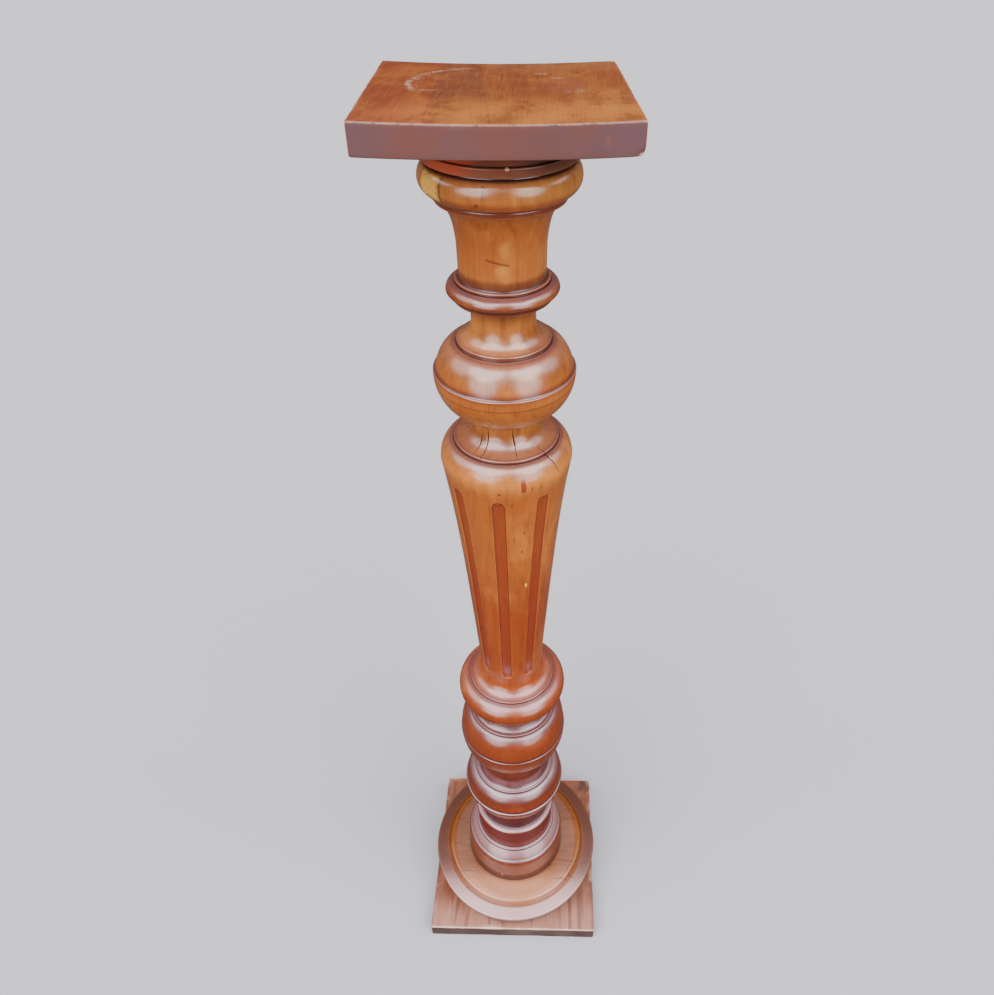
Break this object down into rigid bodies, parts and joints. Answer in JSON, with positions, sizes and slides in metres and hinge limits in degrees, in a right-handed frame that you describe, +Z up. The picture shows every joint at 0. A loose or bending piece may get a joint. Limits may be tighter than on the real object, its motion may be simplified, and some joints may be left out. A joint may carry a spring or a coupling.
{
  "type": "fluted column pedestal",
  "caption": "Tall turned wooden column with a fluted tapering shaft, bulbs and rings, a square top slab, and a round disc on a square plinth board.",
  "frame": {"origin": "centre of the underside, on the floor, below the column's axis", "axes": "+Z up along the column's axis, -Y towards the front, X and Y along the plinth board's edges"},
  "size_m": [0.254, 0.254, 1.2],
  "materials": {
    "plinth_wood": "varnished, worn satin",
    "disc_wood": "varnished, satin gloss",
    "shaft_wood": "varnished, gloss",
    "ring_wood": "varnished, satin",
    "slab_wood": "varnished, worn satin with pale scuffs"
  },
  "bodies": {
    "root": {"plinth_board": "plinth_wood", "base_disc": "disc_wood", "turned_shaft": "shaft_wood", "cap_ring": "ring_wood", "top_slab": "slab_wood"}
  },
  "joints": []
}
